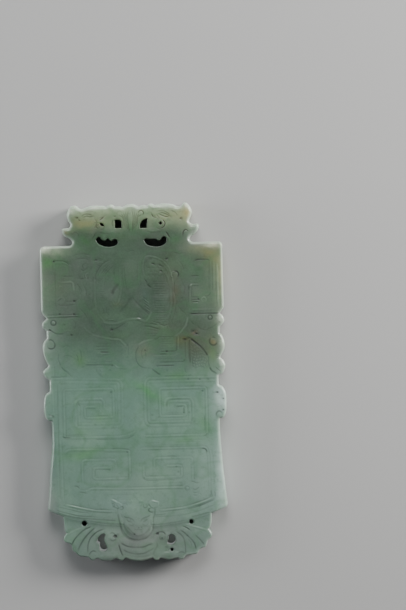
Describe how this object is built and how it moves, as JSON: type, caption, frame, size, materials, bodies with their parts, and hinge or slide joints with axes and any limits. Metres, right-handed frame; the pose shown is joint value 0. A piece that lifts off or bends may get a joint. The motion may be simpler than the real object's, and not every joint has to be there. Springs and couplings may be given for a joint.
{
  "type": "jade pendant",
  "caption": "Flat axe-shaped carved jade pendant with a pierced crest of two confronted heads, a mask, squared scrolls and a bat at the foot.",
  "frame": {"origin": "middle of the flat back, which the pendant lies on", "axes": "+Z out of the carved face, +Y from the foot with the bat to the pierced crest, +X to the right of someone who faces the carving with the crest up"},
  "size_m": [0.0359, 0.07, 0.0059],
  "materials": {
    "jade": "softly polished pale green jade"
  },
  "bodies": {
    "root": {"plaque": "jade"}
  },
  "joints": []
}
